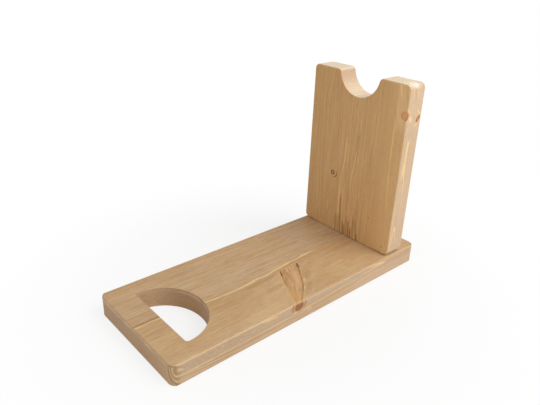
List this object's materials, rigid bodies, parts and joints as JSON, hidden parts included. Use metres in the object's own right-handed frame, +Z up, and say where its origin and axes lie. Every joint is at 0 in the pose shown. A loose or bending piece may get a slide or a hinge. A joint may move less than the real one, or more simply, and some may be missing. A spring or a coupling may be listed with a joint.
{
  "type": "wine bottle holder",
  "caption": "Pine counter-top wine bottle holder: a flat base with a D-shaped heel pocket and an upright with a round neck notch, screwed together.",
  "frame": {"origin": "on the surface the holder stands on, under the middle of the base board", "axes": "+X along the base board from its pocket end to its upright end, +Y across the boards, +Z up"},
  "size_m": [0.266, 0.106, 0.1735],
  "materials": {
    "base_pine": "honey-stained, sanded and satin",
    "upright_pine": "honey-stained, sanded and satin",
    "zinc_steel": "bright zinc plate"
  },
  "bodies": {
    "root": {"base_board": "base_pine", "upright_board": "upright_pine", "screw_near": "zinc_steel", "screw_far": "zinc_steel"}
  },
  "joints": []
}
